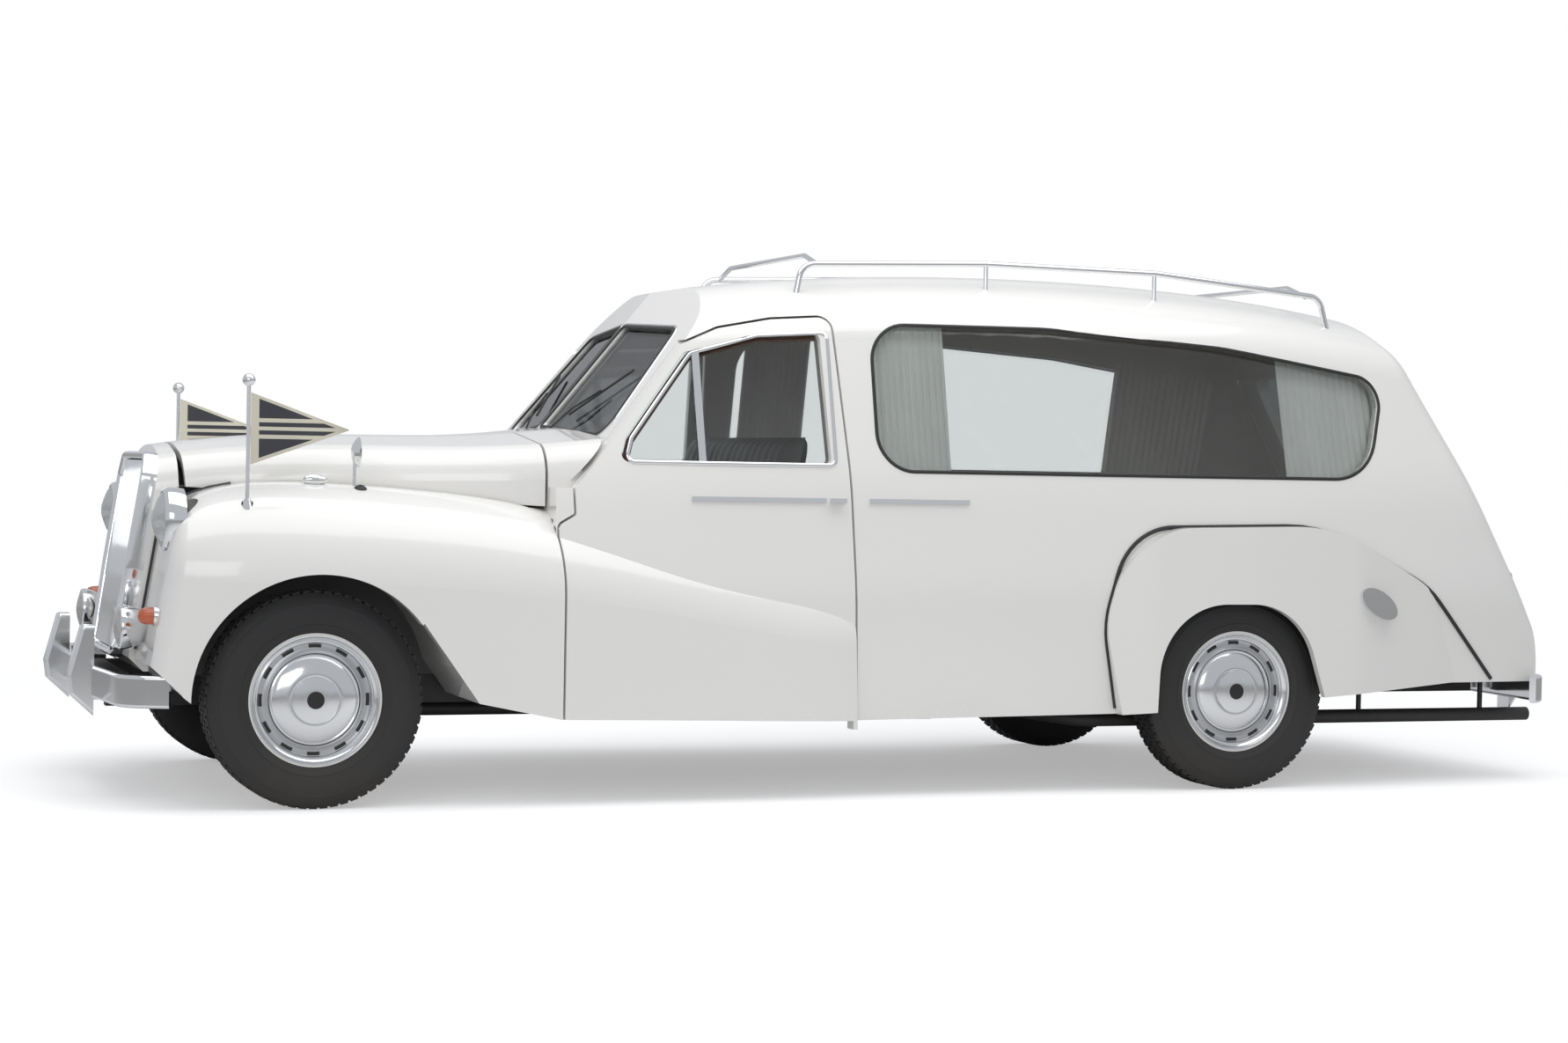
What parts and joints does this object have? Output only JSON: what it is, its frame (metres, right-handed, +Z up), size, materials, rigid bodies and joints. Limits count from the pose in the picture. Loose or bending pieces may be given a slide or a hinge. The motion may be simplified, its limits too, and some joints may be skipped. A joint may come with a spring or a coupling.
{
  "type": "hearse",
  "caption": "Classic coachbuilt hearse with upright slatted radiator, flowing wings, glazed load space, roof rail and flag masts",
  "frame": {"origin": "on the ground, on the centreline, half way along the vehicle", "axes": "+X towards the tail, +Y towards the off side with the steering wheel, +Z up"},
  "size_m": [5.5197, 1.892, 1.9101],
  "materials": {
    "white_paint": "gloss",
    "chassis_black": "satin",
    "floor_grey": "matt",
    "engine_iron": "matt",
    "exhaust_steel": "satin",
    "bright_chrome": "polished",
    "wheel_chrome": "polished",
    "window_glass": "polished",
    "lamp_glass": "polished",
    "amber_lens": "gloss",
    "red_lens": "gloss",
    "pennant_cloth": "matt",
    "curtain_cloth": "matt",
    "grey_leather": "satin",
    "dark_wood": "gloss",
    "black_plastic": "gloss",
    "tyre_rubber": "matt"
  },
  "bodies": {
    "body": {"chassis_frame": "chassis_black", "floor_pan": "floor_grey", "engine_block": "engine_iron", "front_suspension": "chassis_black", "rear_axle": "chassis_black", "exhaust_pipe": "exhaust_steel", "fuel_tank": "chassis_black", "cowl": "white_paint", "roof_panel": "white_paint", "side_panel_left": "white_paint", "side_panel_right": "white_paint", "rear_wing_left": "white_paint", "rear_wing_right": "white_paint", "tail_panel": "white_paint", "front_wing_left": "white_paint", "front_wing_right": "white_paint", "nose_panel": "white_paint", "radiator_grille": "bright_chrome", "body_glass": "window_glass", "headlamps": "lamp_glass", "fog_lamps": "bright_chrome", "side_lamps": "amber_lens", "wing_fittings": "bright_chrome", "tail_lamps": "red_lens", "flag_masts": "bright_chrome", "pennants": "pennant_cloth", "front_bumper": "bright_chrome", "rear_bumper": "bright_chrome", "roof_rack": "bright_chrome", "side_trim": "bright_chrome", "curtains": "curtain_cloth", "seat_base": "grey_leather", "seat_cushion": "grey_leather", "seat_back": "grey_leather", "partition": "dark_wood", "dashboard": "dark_wood", "load_deck": "dark_wood", "deck_rollers": "bright_chrome"},
    "steering_left": {"knuckle_left": "chassis_black"},
    "steering_right": {"knuckle_right": "chassis_black"},
    "door_left_body": {"door_left": "white_paint", "door_glass_left": "window_glass", "door_trim_left": "bright_chrome"},
    "door_right_body": {"door_right": "white_paint", "door_glass_right": "window_glass", "door_trim_right": "bright_chrome"},
    "bonnet_body": {"bonnet": "white_paint"},
    "tailgate_body": {"tailgate": "white_paint", "tailgate_glass": "window_glass"},
    "steering_wheel_body": {"steering_wheel": "black_plastic"},
    "wheel_front_left_body": {"tyre_front_left": "tyre_rubber", "wheel_front_left": "wheel_chrome"},
    "wheel_front_right_body": {"tyre_front_right": "tyre_rubber", "wheel_front_right": "wheel_chrome"},
    "wheel_rear_left_body": {"tyre_rear_left": "tyre_rubber", "wheel_rear_left": "wheel_chrome"},
    "wheel_rear_right_body": {"tyre_rear_right": "tyre_rubber", "wheel_rear_right": "wheel_chrome"}
  },
  "joints": [
    {"name": "door_left_hinge", "type": "hinge", "parent": "body", "child": "door_left_body", "pos_m": [-1.19416, -0.915, 0.6], "axis": [0, -0.0797, -0.9968], "range_deg": [0, 65]},
    {"name": "door_right_hinge", "type": "hinge", "parent": "body", "child": "door_right_body", "pos_m": [-1.19416, 0.915, 0.6], "axis": [0, -0.0797, 0.9968], "range_deg": [0, 65]},
    {"name": "bonnet_hinge", "type": "hinge", "parent": "body", "child": "bonnet_body", "pos_m": [-1.21969, 0, 1.25], "axis": [0, 1, 0], "range_deg": [0, 45]},
    {"name": "tailgate_hinge", "type": "hinge", "parent": "body", "child": "tailgate_body", "pos_m": [2.12531, 0, 1.6225], "axis": [0, -1, 0], "range_deg": [0, 75]},
    {"name": "steer_left", "type": "hinge", "parent": "body", "child": "steering_left", "pos_m": [-2.015, -0.608, 0.357], "axis": [0, 0, 1], "range_deg": [-30, 30]},
    {"name": "steer_right", "type": "hinge", "parent": "body", "child": "steering_right", "pos_m": [-2.015, 0.608, 0.357], "axis": [0, 0, 1], "range_deg": [-30, 30]},
    {"name": "steering_wheel_turn", "type": "hinge", "parent": "body", "child": "steering_wheel_body", "pos_m": [-0.715, 0.38, 1.195], "axis": [0.8192, 0, 0.5736], "range_deg": [-450, 450]},
    {"name": "wheel_front_left_spin", "type": "hinge", "parent": "steering_left", "child": "wheel_front_left_body", "pos_m": [-2.015, -0.743, 0.357], "axis": [0, 1, 0], "continuous": true},
    {"name": "wheel_front_right_spin", "type": "hinge", "parent": "steering_right", "child": "wheel_front_right_body", "pos_m": [-2.015, 0.743, 0.357], "axis": [0, 1, 0], "continuous": true},
    {"name": "wheel_rear_left_spin", "type": "hinge", "parent": "body", "child": "wheel_rear_left_body", "pos_m": [1.338, -0.7875, 0.357], "axis": [0, 1, 0], "continuous": true},
    {"name": "wheel_rear_right_spin", "type": "hinge", "parent": "body", "child": "wheel_rear_right_body", "pos_m": [1.338, 0.7875, 0.357], "axis": [0, 1, 0], "continuous": true}
  ],
  "couplings": [
    {"joint": "steer_right", "follows": "steer_left", "ratio": 1},
    {"joint": "steering_wheel_turn", "follows": "steer_left", "ratio": 15}
  ]
}
